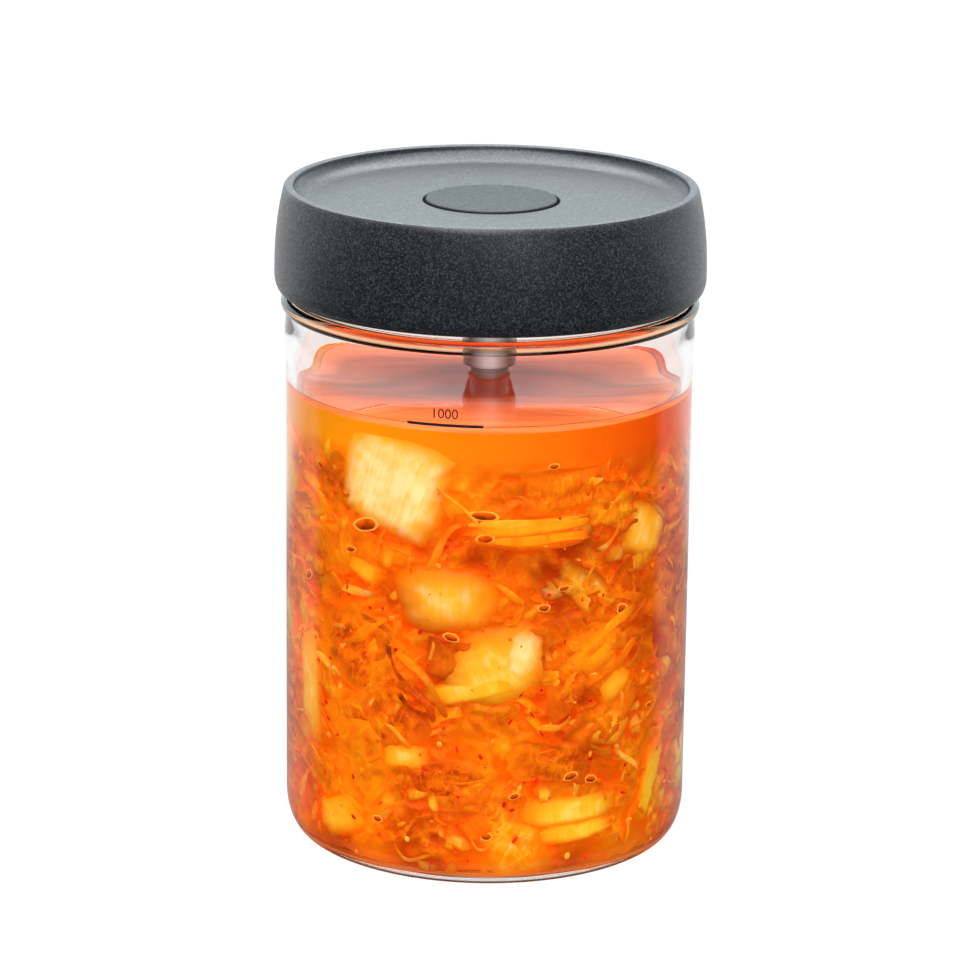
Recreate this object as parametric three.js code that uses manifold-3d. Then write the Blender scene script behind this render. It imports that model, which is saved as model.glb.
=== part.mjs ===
// A one litre fermentation jar: a straight glass jar with a bead under its mouth, a plastic cap
// with a round button let into its top, a steel valve stem that hangs from the cap, and a filling
// of cut and pickled cabbage. Millimetres, +Z up, origin at the middle of the base.
import * as THREE from "three";
import { mergeVertices } from "three/addons/utils/BufferGeometryUtils.js";
import Module from "manifold-3d";

const wasm = await Module();
wasm.setup();

// Driving dimensions
const bodyRadius = 53.9; // outside of the glass
const wall = 2.6; // glass thickness of the side
const capRadius = 56.9; // widest part of the cap
const capTop = 176.4; // top of the cap's raised rim
const capBottom = 148.5; // lower edge of the cap's skirt
const fillLevel = 125.4; // the one litre mark
const gap = 0.3; // clearance between pieces that touch
const shortest = 0.05; // edges of the fused filling that are shorter than this are drawn together
const roundSteps = 48; // sides of the large turned pieces

// Glass
const glass = {
  floor: 2.6, // inside of the base
  punt: 0.8, // hollow under the middle of the base
  puntRadius: 39,
  footRadius: 42.5, // inner edge of the ring that the jar stands on
  cornerWide: 4.9, // base corner, measured across
  cornerHigh: 10.5, // base corner, measured up
  innerCornerHigh: 9,
  innerCornerWide: 5,
  swell: 0.35, // slight swelling of the shoulder below the bead
  swellHeight: 136.3,
  swellRun: 7, // height over which the wall comes out to the swelling
  beadRadius: 55.2,
  beadMiddle: 145.2,
  beadHalf: 2.7, // half the bead's height
  beadIn: 2.2, // how far its upper side draws in to the neck
  neckRadius: 52.4,
  neckWall: 2.5,
  rimTop: 168.4,
};
const innerRadius = bodyRadius - wall;

// Cap and button
const cap = {
  widest: 153, // height of the widest part
  sideDrop: 2.6, // how far the side leans in at the top
  sideCurve: 2.3,
  hemRadius: 4.3, // rounding of the skirt's lower edge, measured up
  hemDepth: 2.4, // the same, measured across
  hemInner: 54.4,
  skirtInner: 53.4,
  plate: 172.3, // top plane inside the raised rim
  underside: glass.rimTop + gap,
  rimWidth: 2.5,
  rimEase: 0.7, // rounding of the rim's edges
  coveRadius: 3.4, // hollow fillet between rim and plane
  wellRadius: 18.0, // round recess for the button
  wellFloor: 170.3,
};
const button = { radius: 17.3, top: 172.8, edge: 0.5, dish: 0.25 };

// Valve stem
const stem = { radius: 7.0, tipRadius: 5.1, chamferTop: 128.4, tip: 123.7, ease: 0.4 };

// Points of an elliptical quarter or part turn, angles in degrees from the +r axis.
function arc(centreR, centreZ, wide, high, from, to, steps) {
  const points = [];
  for (let i = 0; i <= steps; i++) {
    const a = THREE.MathUtils.degToRad(from + ((to - from) * i) / steps);
    points.push([centreR + wide * Math.cos(a), centreZ + high * Math.sin(a)]);
  }
  return points;
}

// A turned solid from [radius, height] pairs that start and end on the axis.
function turned(pairs, steps = roundSteps) {
  const outline = pairs.map(([r, z]) => new THREE.Vector2(r, z));
  return new THREE.LatheGeometry(outline, steps).rotateX(Math.PI / 2);
}

// The glass, from the middle of the underside up the outside, over the rim and down the inside.
function glassOutline() {
  const footOuter = bodyRadius - glass.cornerWide;
  const beadBulge = glass.beadRadius - bodyRadius;
  const beadTop = glass.beadMiddle + glass.beadHalf;
  const neckInner = glass.neckRadius - glass.neckWall;
  const lip = glass.neckWall / 2;
  const cornerR = innerRadius - glass.innerCornerWide;
  const cornerZ = glass.floor + glass.innerCornerHigh;
  return [
    [0, glass.punt],
    [glass.puntRadius, glass.punt],
    [glass.footRadius, 0],
    ...arc(footOuter, glass.cornerHigh, glass.cornerWide, glass.cornerHigh, -90, 0, 5),
    [bodyRadius, glass.swellHeight - glass.swellRun],
    [bodyRadius + glass.swell, glass.swellHeight],
    ...arc(bodyRadius, glass.beadMiddle, beadBulge, glass.beadHalf, -90, 0, 4),
    ...arc(glass.beadRadius - glass.beadIn, glass.beadMiddle, glass.beadIn, glass.beadHalf, 25, 90, 3),
    [glass.neckRadius, beadTop + 0.5],
    ...arc(glass.neckRadius - lip, glass.rimTop - lip, lip, lip, 0, 180, 4),
    [neckInner, beadTop],
    [innerRadius, glass.swellHeight],
    ...arc(cornerR, cornerZ, glass.innerCornerWide, glass.innerCornerHigh, 0, -90, 4),
    [0, glass.floor],
  ];
}

// Radius of the cap's side at a height.
function capSide(z) {
  const t = Math.max(0, (z - cap.widest) / (capTop - cap.widest));
  return capRadius - cap.sideDrop * t ** cap.sideCurve;
}

// The cap, from the middle of its underside down inside the skirt, up the outside and in over the top.
function capOutline() {
  const hemCentre = capRadius - cap.hemDepth;
  const side = [0.0, 0.35, 0.6, 0.8, 0.96].map((t) => {
    const z = cap.widest + (capTop - cap.widest) * t;
    return [capSide(z), z];
  });
  const rimInner = capSide(capTop) - cap.rimWidth;
  const cove = cap.coveRadius;
  return [
    [0, cap.underside],
    [cap.skirtInner, cap.underside],
    [cap.skirtInner, capBottom + 3],
    [cap.hemInner, capBottom],
    ...arc(hemCentre, capBottom + cap.hemRadius, capRadius - hemCentre, cap.hemRadius, -90, 0, 4),
    ...side,
    [capSide(capTop) - cap.rimEase, capTop],
    [rimInner + cap.rimEase, capTop],
    [rimInner, capTop - cap.rimEase],
    ...arc(rimInner - cove, cap.plate + cove, cove, cove, 0, -90, 3),
    [cap.wellRadius, cap.plate],
    [cap.wellRadius, cap.wellFloor],
    [0, cap.wellFloor],
  ];
}

// The button, a disc with an eased edge and a very shallow dish.
function buttonOutline() {
  const { radius, top, edge, dish } = button;
  return [
    [0, cap.wellFloor + gap],
    [radius, cap.wellFloor + gap],
    [radius, top - edge],
    [radius - edge, top],
    [radius * 0.55, top - dish * 0.7],
    [0, top - dish],
  ];
}

// The stem, a rod with a necked tip that just dips into the brine.
function stemOutline() {
  const { radius, tipRadius, chamferTop, tip, ease } = stem;
  return [
    [0, tip],
    [tipRadius - ease, tip],
    [tipRadius, tip + ease],
    [tipRadius, chamferTop - (radius - tipRadius)],
    [radius, chamferTop],
    [radius, cap.underside - gap],
    [0, cap.underside - gap],
  ];
}

// Cabbage filling
const heap = {
  coreRadius: 47.3,
  top: 122.4, // top of the packed core, just below the liquid's surface
  reach: innerRadius - gap - 0.1, // how far the pieces come out to the glass
  highest: fillLevel - 3.5,
  seed: 11,
};

// Large pieces of white stalk that lie against the glass: azimuth in degrees counted from the front
// towards the right, middle height, and width, height, thickness and tilt of the piece.
const stalks = [
  { turn: -28, z: 105, wide: 25, high: 28, thick: 9, tilt: 12 },
  { turn: -15, z: 79, wide: 18, high: 17, thick: 8, tilt: -6 },
  { turn: 0, z: 61, wide: 32, high: 25, thick: 9, tilt: 22 },
  { turn: 14, z: 96, wide: 36, high: 8, thick: 7, tilt: 3 },
  { turn: 52, z: 92, wide: 17, high: 16, thick: 8, tilt: -30 },
  { turn: 34, z: 63, wide: 20, high: 17, thick: 7, tilt: 40 },
  { turn: 38, z: 41, wide: 15, high: 11, thick: 8, tilt: -16 },
  { turn: 27, z: 18, wide: 26, high: 14, thick: 9, tilt: 2 },
  { turn: 57, z: 22, wide: 8, high: 22, thick: 7, tilt: -22 },
  { turn: -62, z: 46, wide: 11, high: 32, thick: 7, tilt: 4 },
  { turn: -24, z: 34, wide: 14, high: 9, thick: 7, tilt: 6 },
  { turn: -48, z: 13, wide: 15, high: 11, thick: 7, tilt: 20 },
];
const backStalks = { count: 10, from: 80, to: 285, wide: [14, 32], high: [10, 26], thick: 8 };
const shreds = { count: 32, long: [14, 30], wide: [3, 6.5], thick: 3.4, waves: 1.7 };
const bits = { count: 16, across: [5, 10] };

// Repeatable numbers between 0 and 1, the same on every run.
function seeded(seed) {
  let state = seed;
  return () => {
    state = (state * 16807) % 2147483647;
    return state / 2147483647;
  };
}
const random = seeded(heap.seed);
const between = ([low, high]) => low + (high - low) * random();

// Only positions, with shared corners merged, so that a closed mesh becomes a solid.
function solid(geometry) {
  geometry.deleteAttribute("normal");
  geometry.deleteAttribute("uv");
  const merged = mergeVertices(geometry, 1e-3);
  const triVerts = new Uint32Array(merged.index.array);
  const vertProperties = merged.attributes.position.array;
  return new wasm.Manifold(new wasm.Mesh({ numProp: 3, vertProperties, triVerts }));
}

// The triangles of a solid as a geometry.
function surface(body) {
  const { vertProperties, triVerts } = body.getMesh();
  const geometry = new THREE.BufferGeometry();
  geometry.setAttribute("position", new THREE.BufferAttribute(new Float32Array(vertProperties), 3));
  geometry.setIndex(new THREE.BufferAttribute(new Uint32Array(triVerts), 1));
  return geometry;
}

// The one large body of a solid, without loose scraps and with sealed pockets filled.
function largest(body) {
  return body.decompose().reduce((a, b) => (a.volume() > b.volume() ? a : b));
}

// How far the filling may come out at a height: up to the glass, and round the base corner.
function reachAt(z) {
  const { innerCornerWide, innerCornerHigh } = glass;
  const above = (z - glass.floor - gap) / innerCornerHigh;
  const drop = 1 - THREE.MathUtils.clamp(above, 0, 1);
  return heap.reach - innerCornerWide * (1 - Math.sqrt(1 - drop * drop));
}

// Lays a flat piece, drawn as x across, y inwards and z up, against the round of the jar.
function laidRound(geometry, turn, z, tilt, reach) {
  const lean = THREE.MathUtils.degToRad(tilt);
  const start = THREE.MathUtils.degToRad(turn - 90);
  const slack = between([0, 0.4]);
  const at = geometry.attributes.position;
  for (let i = 0; i < at.count; i++) {
    const across = at.getX(i) * Math.cos(lean) - at.getZ(i) * Math.sin(lean);
    const up = at.getX(i) * Math.sin(lean) + at.getZ(i) * Math.cos(lean);
    const height = THREE.MathUtils.clamp(z + up, glass.floor + gap + slack, heap.highest - slack);
    const r = Math.min(reach - at.getY(i), reachAt(height) - slack);
    const a = start + across / reach;
    at.setXYZ(i, r * Math.cos(a), r * Math.sin(a), height);
  }
  return geometry;
}

// A stalk is a thick slab with rounded corners, squared up from a ball.
function stalk({ turn, z, wide, high, thick, tilt }) {
  const ball = new THREE.SphereGeometry(1, 8, 6).rotateX(Math.PI / 2);
  const at = ball.attributes.position;
  const squared = (v) => Math.sign(v) * Math.abs(v) ** 0.55;
  for (let i = 0; i < at.count; i++) {
    const x = (squared(at.getX(i)) * wide) / 2;
    const y = (squared(at.getY(i)) * thick) / 2;
    const up = (squared(at.getZ(i)) * high) / 2;
    at.setXYZ(i, x, y, up);
  }
  return solid(laidRound(ball, turn, z, tilt, heap.reach - thick * 0.42));
}

// A shred is a narrow strip of leaf that waves as it runs along the glass.
function shred(turn, z, long, wide, tilt, phase) {
  const strip = new THREE.BoxGeometry(long, shreds.thick, wide, 5, 1, 1);
  const at = strip.attributes.position;
  for (let i = 0; i < at.count; i++) {
    const along = (at.getX(i) / long) * Math.PI * shreds.waves + phase;
    const narrowing = 1 - 0.5 * Math.abs((2 * at.getX(i)) / long) ** 2;
    at.setY(i, at.getY(i) + 0.9 * Math.sin(along * 2));
    at.setZ(i, at.getZ(i) * narrowing + 2.2 * Math.sin(along));
  }
  return solid(laidRound(strip, turn, z, tilt, heap.reach - shreds.thick * 0.8));
}

// A small broken bit of stalk.
function bit(turn, z, across, tilt) {
  const lump = new THREE.IcosahedronGeometry(across / 2, 0).scale(1.2, 0.8, 0.8);
  return solid(laidRound(lump, turn, z, tilt, heap.reach - across * 0.4));
}

// The packed middle, with a lumpy side and a level top, standing a little clear of the glass.
function core() {
  const low = glass.floor + 1.5;
  const tall = heap.top - low;
  const { coreRadius } = heap;
  const block = new THREE.CylinderGeometry(coreRadius, coreRadius, tall, 28, 9).rotateX(Math.PI / 2);
  const at = block.attributes.position;
  for (let i = 0; i < at.count; i++) {
    const a = Math.atan2(at.getY(i), at.getX(i));
    const t = at.getZ(i) / tall + 0.5;
    const edge = Math.hypot(at.getX(i), at.getY(i)) / coreRadius;
    const lump = 1.5 * Math.sin(5 * a + 9 * t) + 1.1 * Math.sin(9 * a - 17 * t);
    const foot = 1.2 * edge * Math.max(0, 0.08 - t);
    const shrink = 1 + (edge * lump) / coreRadius - foot;
    at.setXYZ(i, at.getX(i) * shrink, at.getY(i) * shrink, low + tall * t);
  }
  return solid(block);
}

// Everything packed into the jar as one body, kept inside the glass.
function cabbage() {
  const pieces = [core(), ...stalks.map(stalk)];
  for (let i = 0; i < backStalks.count; i++) {
    const turn = backStalks.from + ((backStalks.to - backStalks.from) * (i + 0.5)) / backStalks.count;
    const z = 18 + ((i * 37) % 84);
    const [wide, high] = [between(backStalks.wide), between(backStalks.high)];
    const tilt = between([-30, 30]);
    pieces.push(stalk({ turn, z, wide, high, thick: backStalks.thick, tilt }));
  }
  for (let i = 0; i < shreds.count; i++) {
    const turn = (i * 137.5) % 360;
    const z = 14 + (92 * (i + random())) / shreds.count;
    const [long, wide] = [between(shreds.long), between(shreds.wide)];
    pieces.push(shred(turn, z, long, wide, between([-50, 50]), between([0, 6])));
  }
  for (let i = 0; i < bits.count; i++) {
    const z = 12 + (96 * (i + 0.5)) / bits.count;
    pieces.push(bit((i * 222.5 + 20) % 360, z, between(bits.across), between([0, 90])));
  }
  const fused = pieces.reduce((whole, piece) => whole.add(piece));
  return surface(largest(fused.simplify(shortest)));
}

// A plain finish, and clear where an opacity below 1 is given.
function finish(color, roughness, metalness = 0, opacity = 1) {
  return new THREE.MeshStandardMaterial({ color, roughness, metalness, opacity, transparent: opacity < 1 });
}

// The jar with its pieces in place
const jar = new THREE.Group();
function place(name, geometry, material) {
  const mesh = new THREE.Mesh(geometry, material);
  mesh.name = name;
  jar.add(mesh);
}
place("glass_jar", turned(glassOutline()), finish(0xeaf1ee, 0.05, 0, 0.3));
place("cap", turned(capOutline()), finish(0x2f3138, 0.55));
place("cap_button", turned(buttonOutline(), 40), finish(0x4a4f55, 0.6));
place("valve_stem", turned(stemOutline(), 24), finish(0xb8b4ac, 0.28, 1));
place("cabbage", cabbage(), finish(0xf08a18, 0.45));

export default jar;
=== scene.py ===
import math
import random

import bpy
import numpy as np
from mathutils import Matrix, Vector, noise


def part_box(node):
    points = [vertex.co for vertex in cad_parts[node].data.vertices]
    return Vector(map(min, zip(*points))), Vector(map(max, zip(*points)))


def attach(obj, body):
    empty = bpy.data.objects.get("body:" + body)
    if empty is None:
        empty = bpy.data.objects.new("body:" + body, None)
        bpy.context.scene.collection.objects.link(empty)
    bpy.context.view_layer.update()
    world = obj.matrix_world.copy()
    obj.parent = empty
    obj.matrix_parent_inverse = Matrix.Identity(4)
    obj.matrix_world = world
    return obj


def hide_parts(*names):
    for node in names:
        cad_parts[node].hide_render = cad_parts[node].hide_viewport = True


# Fermentation jar: clear glass, anthracite cap, steel stem, orange pickled cabbage in brine.
# Sizes are in millimetres and become metres where a mesh or a shader takes them; the lamps are in metres.
mm = 0.001
goldenTurn = 137.5  # degrees from one scattered piece to the next
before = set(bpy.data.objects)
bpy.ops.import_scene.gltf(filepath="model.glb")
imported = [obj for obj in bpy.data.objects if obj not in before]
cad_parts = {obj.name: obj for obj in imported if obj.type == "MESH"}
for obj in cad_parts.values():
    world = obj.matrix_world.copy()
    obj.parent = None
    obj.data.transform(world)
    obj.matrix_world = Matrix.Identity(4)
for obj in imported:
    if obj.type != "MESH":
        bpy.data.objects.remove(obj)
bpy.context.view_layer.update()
scene = bpy.context.scene
print("frame loaded, nodes:", ", ".join(sorted(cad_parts)))


# Heights and radii that several pieces share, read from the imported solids
def nodeSpan(node):
    low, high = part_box(node)
    return low.z / mm, high.z / mm, high.x / mm


glassRim, beadRadius = nodeSpan("glass_jar")[1:]
capBottom, capTop, capRadius = nodeSpan("cap")
stemTip, stemTop, stemRadius = nodeSpan("valve_stem")
jar = dict(
    bodyRadius=53.9, wall=2.6,
    floor=2.6,  # inside of the base
)
innerRadius = jar["bodyRadius"] - jar["wall"]


# Camera
cameraSpec = dict(
    distance=1100, elevation=16.3,
    target=88,  # height that the distance is measured from
    aim=(-0.8, 0, 94.3),  # point in the middle of the frame
    roll=0.67,  # degrees, the jar leans a touch to the right
    lens=152.3, sensor=36,
)


def makeCamera(spec):
    rise = math.radians(spec["elevation"])
    back = spec["distance"] * mm
    eye = Vector((0, -back * math.cos(rise), spec["target"] * mm + back * math.sin(rise)))
    forward = (Vector(spec["aim"]) * mm - eye).normalized()
    side = forward.cross(Vector((0, 0, 1))).normalized()
    lean = math.radians(spec["roll"])
    up = side.cross(forward)
    right = side * math.cos(lean) + up * math.sin(lean)
    top = up * math.cos(lean) - side * math.sin(lean)
    data = bpy.data.cameras.new("jarCamera")
    data.lens = spec["lens"]
    data.sensor_width = spec["sensor"]
    data.clip_end = 50
    camera = bpy.data.objects.new("jarCamera", data)
    turn = Matrix((right, top, -forward)).transposed()
    camera.matrix_world = Matrix.Translation(eye) @ turn.to_4x4()
    scene.collection.objects.link(camera)
    scene.camera = camera


makeCamera(cameraSpec)


# Small helpers for meshes
def arc(centreR, centreZ, wide, high, start, end, steps):
    turn = [math.radians(start + (end - start) * i / steps) for i in range(steps + 1)]
    return [(centreR + wide * math.cos(a), centreZ + high * math.sin(a)) for a in turn]


def meshFrom(name, points, faces):
    mesh = bpy.data.meshes.new(name)
    mesh.from_pydata([tuple(p) for p in np.asarray(points) * mm], [], faces)
    mesh.validate()
    mesh.update()
    return mesh


def smooth(mesh, sharpAngle=40):
    mesh.shade_smooth()
    mesh.set_sharp_from_angle(angle=math.radians(sharpAngle))
    return mesh


def guarded(outline, longest=3.0, margin=0.25):
    # a ring close to either end of every long straight run, so that its shading stays flat
    rings = outline[:1]
    for (r0, z0), (r1, z1) in zip(outline, outline[1:]):
        length = math.hypot(r1 - r0, z1 - z0)
        if length > longest:
            for t in (margin / length, 1 - margin / length):
                rings.append((r0 + (r1 - r0) * t, z0 + (z1 - z0) * t))
        rings.append((r1, z1))
    return rings


def tubeFaces(around, up):
    # quads of a tube whose points run round ring by ring, from the bottom up
    quads = []
    for j in range(up):
        low, high = j * around, (j + 1) * around
        for i in range(around):
            k = (i + 1) % around
            quads.append((low + i, low + k, high + k, high + i))
    return quads


def drawnMesh(holder):
    # what a curve or a modifier makes, as a plain mesh; the holder goes
    scene.collection.objects.link(holder)
    bpy.context.view_layer.update()
    graph = bpy.context.evaluated_depsgraph_get()
    mesh = bpy.data.meshes.new_from_object(holder.evaluated_get(graph))
    bpy.data.objects.remove(holder)
    return mesh


def rowsOf(keys, rows):
    return [dict(zip(keys.split(), row)) for row in rows]


def turnedMesh(name, outline, steps=192, sharpAngle=40):
    # outline of (radius, height) pairs that starts and ends on the axis, underside first
    points, rings, faces = [], [], []
    for r, z in guarded(outline):
        if r < 1e-6:
            rings.append([len(points)] * steps)
            points.append((0, 0, z))
            continue
        rings.append(list(range(len(points), len(points) + steps)))
        turn = [2 * math.pi * i / steps for i in range(steps)]
        points.extend((r * math.cos(a), r * math.sin(a), z) for a in turn)
    for low, high in zip(rings, rings[1:]):
        for i in range(steps):
            j = (i + 1) % steps
            corners = [low[i], low[j], high[j], high[i]]
            faces.append(list(dict.fromkeys(corners)))
    return smooth(meshFrom(name, points, faces), sharpAngle)


def addPiece(name, mesh, material, replaced=()):
    piece = bpy.data.objects.new(name, mesh)
    scene.collection.objects.link(piece)
    mesh.materials.clear()
    mesh.materials.append(material)
    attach(piece, "root")
    if replaced:
        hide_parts(*replaced)
    return piece


# Small helpers for materials
def isSocket(value):
    return isinstance(value, bpy.types.NodeSocket)


def addNode(tree, kind, inputs=None, **settings):
    node = tree.nodes.new(kind)
    for key, value in settings.items():
        setattr(node, key, value)
    for key, value in (inputs or {}).items():
        if isSocket(value):
            tree.links.new(value, node.inputs[key])
        else:
            node.inputs[key].default_value = value
    return node


class Shader:
    def __init__(self, name):
        self.material = bpy.data.materials.new(name)
        self.material.use_nodes = True
        self.tree = self.material.node_tree
        self.surface = self.tree.nodes["Principled BSDF"]
        self.coords = self.add("ShaderNodeTexCoord").outputs["Object"]

    def set(self, **values):
        for key, value in values.items():
            self.surface.inputs[key.replace("_", " ")].default_value = value

    def wire(self, source, socket):
        self.tree.links.new(source, self.surface.inputs[socket])

    def add(self, kind, inputs=None, **settings):
        return addNode(self.tree, kind, inputs, **settings)

    def place(self):
        return self.add("ShaderNodeSeparateXYZ", {"Vector": self.coords}).outputs

    def fromAxis(self):
        flat = self.scaled(1, 1, 0)
        return self.add("ShaderNodeVectorMath", {0: flat}, operation="LENGTH").outputs["Value"]

    def noise(self, scale, detail=3.0, rough=0.5, vector=None):
        spec = {"Scale": scale, "Detail": detail, "Roughness": rough, "Vector": vector or self.coords}
        return self.add("ShaderNodeTexNoise", spec).outputs["Fac"]

    def scaled(self, x, y, z, vector=None):
        spec = {"Vector": vector or self.coords, "Scale": (x, y, z)}
        return self.add("ShaderNodeMapping", spec).outputs["Vector"]

    def spread(self, value, low, high, toLow=0.0, toHigh=1.0, kind="LINEAR"):
        spec = {"Value": value, "From Min": low, "From Max": high, "To Min": toLow, "To Max": toHigh}
        return self.add("ShaderNodeMapRange", spec, interpolation_type=kind).outputs["Result"]

    def math(self, operation, a, b=0.0):
        return self.add("ShaderNodeMath", {0: a, 1: b}, operation=operation).outputs[0]

    def ramp(self, value, stops):
        node = self.add("ShaderNodeValToRGB", {"Fac": value})
        bar = node.color_ramp.elements
        while len(bar) < len(stops):
            bar.new(0.5)
        for element, (place, colour) in zip(bar, stops):
            element.position = place
            element.color = (*colour, 1)
        return node.outputs["Color"]

    def mix(self, factor, a, b, blend="MIX"):
        a, b = (colour if isSocket(colour) else (*colour, 1) for colour in (a, b))
        spec = {0: factor, 6: a, 7: b}  # the sockets of a colour mix
        return self.add("ShaderNodeMix", spec, data_type="RGBA", blend_type=blend).outputs[2]

    def bump(self, height, strength, distance):
        node = self.add("ShaderNodeBump", {"Height": height, "Strength": strength, "Distance": distance})
        self.wire(node.outputs["Normal"], "Normal")

    def attribute(self, name):
        return self.add("ShaderNodeAttribute", attribute_name=name).outputs["Fac"]


# Clear glass with a faint waviness from blowing and a trace of handling on the gloss, and an orange band on
# the bead that is a painted reflection of the contents
glassSpec = dict(
    punt=0.8, puntRadius=39, footRadius=42.5, cornerWide=4.9, cornerHigh=10.5,
    innerCornerWide=5, innerCornerHigh=9, swell=0.35, swellHeight=136.3, swellRun=7,
    swellStretch=1.03,  # how much longer its upper half is
    drawnFrom=142.8,  # the inner wall draws in from here to the bead's top
    beadMiddle=145.2, beadHalf=2.7, beadIn=2.2, beadTop=1.7, beadFoot=1.7,
    ridge=[(53.25, 147.05), (53.45, 147.75), (53.65, 148.45), (53.4, 149.2), (52.4, 149.9)],
    caughtAt=145.8,  # height of the orange band on the bead, a painted reflection of the contents
    caughtHalf=1.0, caughtFade=0.5, neckRadius=52.4, neckWall=2.5,
)


def glassOutline(spec):
    body = jar["bodyRadius"]
    beadHigh = spec["beadMiddle"] + spec["beadHalf"]
    lip = spec["neckWall"] / 2
    bulge = beadRadius - body
    wide, high = spec["cornerWide"], spec["cornerHigh"]
    cornerR = innerRadius - spec["innerCornerWide"]
    cornerZ = jar["floor"] + spec["innerCornerHigh"]
    shoulder = []
    for i in range(13):  # the wall swells gently and draws in again below the bead
        t = i / 12
        z = spec["swellHeight"] + spec["swellRun"] * (2 * t - 1) * (1 if t < 0.5 else spec["swellStretch"])
        shoulder.append((body + spec["swell"] * math.sin(math.pi * t) ** 2, z))
    return [
        (0, spec["punt"]),
        *arc(spec["puntRadius"], spec["punt"] / 2, 2.5, spec["punt"] / 2, 90, 60, 3),
        *arc(spec["footRadius"] + 0.5, 0.8, 1.5, 0.8, 210, 270, 3),
        *arc(body - wide, high, wide, high, -90, 0, 18),
        *shoulder,
        *arc(body, spec["beadMiddle"], bulge, spec["beadFoot"], -80, 0, 10),
        *arc(beadRadius - spec["beadIn"], spec["beadMiddle"], spec["beadIn"], spec["beadTop"], 9, 80, 10),
        *spec["ridge"],
        *arc(spec["neckRadius"] - lip, glassRim - lip, lip, lip, 0, 180, 10),
        (spec["neckRadius"] - spec["neckWall"], beadHigh + 1),
        *innerShoulder(spec, beadHigh),
        *arc(cornerR, cornerZ, spec["innerCornerWide"], spec["innerCornerHigh"], 0, -90, 14),
        (0, jar["floor"]),
    ]


def innerShoulder(spec, beadHigh):
    neck = spec["neckRadius"] - spec["neckWall"]
    low = spec["drawnFrom"]
    steps = [i / 8 for i in range(9)]
    return [
        (neck + (innerRadius - neck) * (0.5 - 0.5 * math.cos(math.pi * t)), beadHigh + (low - beadHigh) * t)
        for t in steps
    ]


def glassMaterial():
    shader = Shader("clearGlass")
    shader.set(Transmission_Weight=1, IOR=1.47)
    height = shader.place()["Z"]
    # the bead's orange band is a painted reflection of the contents behind it
    off = shader.math("ABSOLUTE", shader.math("SUBTRACT", height, glassSpec["caughtAt"] * mm))
    half, fade = glassSpec["caughtHalf"], glassSpec["caughtFade"]
    bead = shader.spread(off, half * mm, (half + fade) * mm, 1.0, 0.0)
    shader.wire(shader.mix(bead, (0.975, 0.99, 0.985), (0.97, 0.42, 0.17)), "Base Color")
    handled = shader.noise(90, 0)
    shader.wire(shader.spread(handled, 0.35, 0.8, 0.0, 0.025), "Roughness")
    waves = shader.noise(1, 0, vector=shader.scaled(38, 38, 12))
    shader.bump(waves, 0.05, 0.0006)
    return shader.material


glassMesh = turnedMesh("glassJar", glassOutline(glassSpec), 224)
glassJar = addPiece("glassJar", glassMesh, glassMaterial(), ["glass_jar"])
glassJar.visible_shadow = False
print("glass turned")


# Cap: satin anthracite plastic with a fine glittering grain
capSpec = dict(
    widest=153, sideDrop=2.6, sideCurve=2.3, hemRadius=4.3, hemDepth=2.4, hemInner=54.4,
    skirtInner=53.4, plate=172.3, rimWidth=2.5, rimEase=0.7, coveRadius=6.0,
    coveTurn=62,  # degrees that the cove rises through
    wellRadius=18.0, wellFloor=170.3, wellEase=0.35,
)
buttonSpec = dict(radius=17.3, top=172.8, edge=0.6, dish=0.25)
grainSpec = dict(cloud=26, grain=3400, sparks=3000)  # how many to the metre


def capSide(z):
    t = max(0, (z - capSpec["widest"]) / (capTop - capSpec["widest"]))
    return capRadius - capSpec["sideDrop"] * t ** capSpec["sideCurve"]


def capOutline(spec):
    underside = glassRim + 0.3
    hem = capRadius - spec["hemDepth"]
    ease, cove, well = spec["rimEase"], spec["coveRadius"], spec["wellEase"]
    rimOuter = capSide(capTop)
    rimInner = rimOuter - spec["rimWidth"]
    plate = spec["plate"]
    top = capTop - ease
    rise = math.radians(spec["coveTurn"])
    coveEnd = rimInner + ease - ease * math.sin(rise)  # where the cove meets the eased rim
    coveMiddle = coveEnd - cove * math.sin(rise)
    side = [spec["widest"] + (top - spec["widest"]) * i / 20 for i in range(21)]
    return [
        (0, underside),
        (spec["skirtInner"], underside),
        (spec["skirtInner"], capBottom + 3),
        (spec["hemInner"], capBottom + 0.4),
        (spec["hemInner"] + 0.4, capBottom),
        *arc(hem, capBottom + spec["hemRadius"], spec["hemDepth"], spec["hemRadius"], -90, 0, 12),
        *[(capSide(z), z) for z in side],
        *arc(rimOuter - ease, top, ease, ease, 20, 90, 5),
        *arc(rimInner + ease, top, ease, ease, 90, 90 + spec["coveTurn"], 5),
        *arc(coveMiddle, plate + cove, cove, cove, spec["coveTurn"] - 90, -90, 10),
        *arc(spec["wellRadius"] + well, plate - well, well, well, 90, 180, 4),
        (spec["wellRadius"], spec["wellFloor"]),
        (0, spec["wellFloor"]),
    ]


def buttonOutline(spec):
    radius, top, edge = spec["radius"], spec["top"], spec["edge"]
    low = capSpec["wellFloor"] + 0.3
    dish = [(radius - edge) * (1 - i / 8) for i in range(1, 8)]
    return [
        (0, low),
        (radius, low),
        *arc(radius - edge, top - edge, edge, edge, 0, 90, 5),
        *[(r, top - spec["dish"] * (1 - (r / radius) ** 2)) for r in dish],
        (0, top - spec["dish"]),
    ]


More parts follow.
